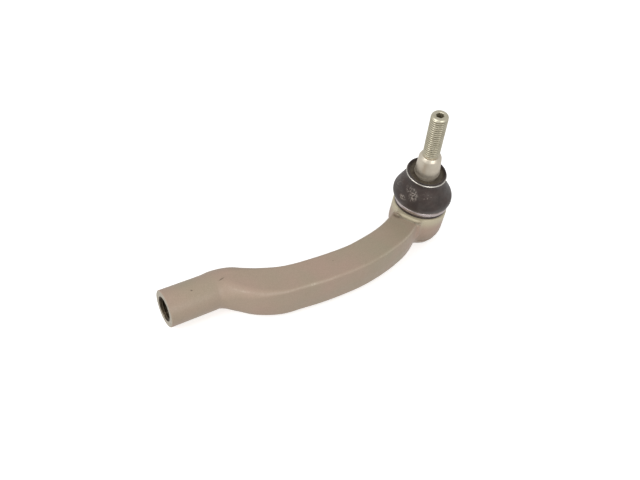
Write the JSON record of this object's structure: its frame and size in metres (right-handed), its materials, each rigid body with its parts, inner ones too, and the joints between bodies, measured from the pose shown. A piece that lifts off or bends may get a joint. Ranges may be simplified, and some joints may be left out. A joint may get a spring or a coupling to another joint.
{
  "type": "tie rod end",
  "caption": "Outer tie rod end: forged swan-neck arm with a threaded boss, and a booted ball joint with a tapered, threaded stud.",
  "frame": {"origin": "centre of the ball, where the stud swings", "axes": "+Z along the socket axis towards the stud, +X from the threaded boss towards the socket, the arm bows towards -Y"},
  "size_m": [0.2294, 0.0571, 0.1155],
  "materials": {
    "forging_paint": "satin greige paint over a forged surface",
    "stud_steel": "machined, phosphated satin",
    "bearing_plastic": "moulded acetal",
    "spring_steel": "oiled spring steel",
    "cover_steel": "pressed sheet, zinc plated",
    "boot_rubber": "matte, dusty",
    "band_steel": "bright spring band",
    "wire_steel": "bright wire"
  },
  "bodies": {
    "socket": {"forged_arm": "forging_paint", "upper_bearing": "bearing_plastic", "lower_bearing": "bearing_plastic", "preload_spring": "spring_steel", "cover_plate": "cover_steel", "lower_band": "band_steel"},
    "boot": {"dust_boot": "boot_rubber"},
    "boot_neck": {"upper_ring": "wire_steel"},
    "stud": {"ball_stud": "stud_steel"}
  },
  "joints": [
    {"name": "swing_side", "type": "hinge", "parent": "socket", "child": "boot", "pos_m": [0, 0, 0], "axis": [1, 0, 0], "range_deg": [-23, 13], "deforming": ["dust_boot"]},
    {"name": "swing_along", "type": "hinge", "parent": "boot", "child": "boot_neck", "pos_m": [0, 0, 0], "axis": [0, 0.9962, 0.0872], "range_deg": [-7, 29]},
    {"name": "stud_spin", "type": "hinge", "parent": "boot_neck", "child": "stud", "pos_m": [0, 0, 0], "axis": [-0.1908, -0.0856, 0.9779], "continuous": true}
  ]
}
